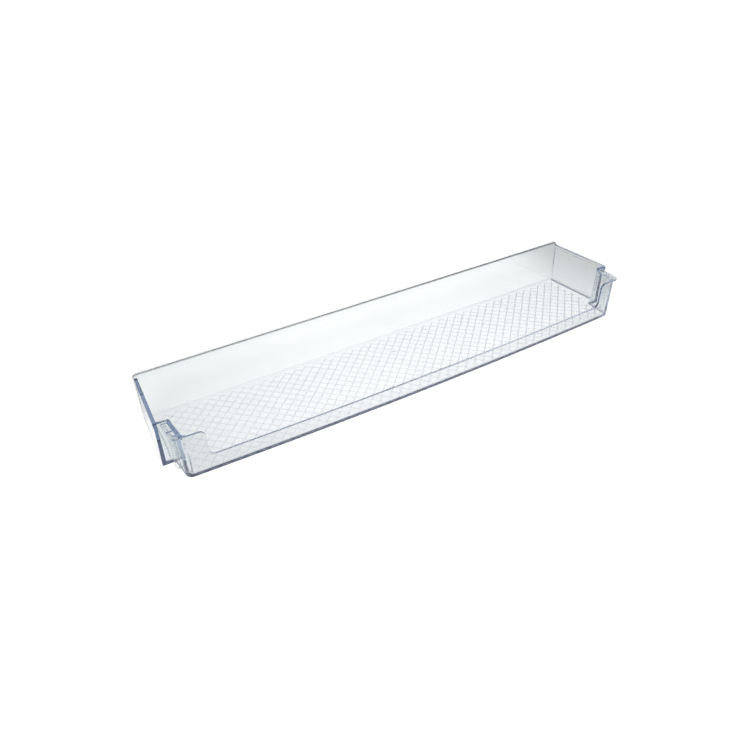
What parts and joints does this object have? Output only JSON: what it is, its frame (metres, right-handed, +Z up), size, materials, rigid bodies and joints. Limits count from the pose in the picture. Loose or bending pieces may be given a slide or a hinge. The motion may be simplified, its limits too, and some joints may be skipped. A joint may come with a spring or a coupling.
{
  "type": "refrigerator door shelf",
  "caption": "Clear moulded refrigerator door shelf: a shallow tray with a tall front wall, a low, slightly bowed rear wall open between two ears, and a hanger lip with ribs at each end.",
  "frame": {"origin": "middle of the bounding box, on the plane that the underside of the floor stands on", "axes": "+X along the shelf, +Y from the door side towards the tall front wall, +Z up"},
  "size_m": [0.478, 0.1004, 0.0465],
  "materials": {
    "clear_plastic": "clear, glossy, faintly blue at its edges"
  },
  "bodies": {
    "root": {"door_shelf": "clear_plastic"}
  },
  "joints": []
}
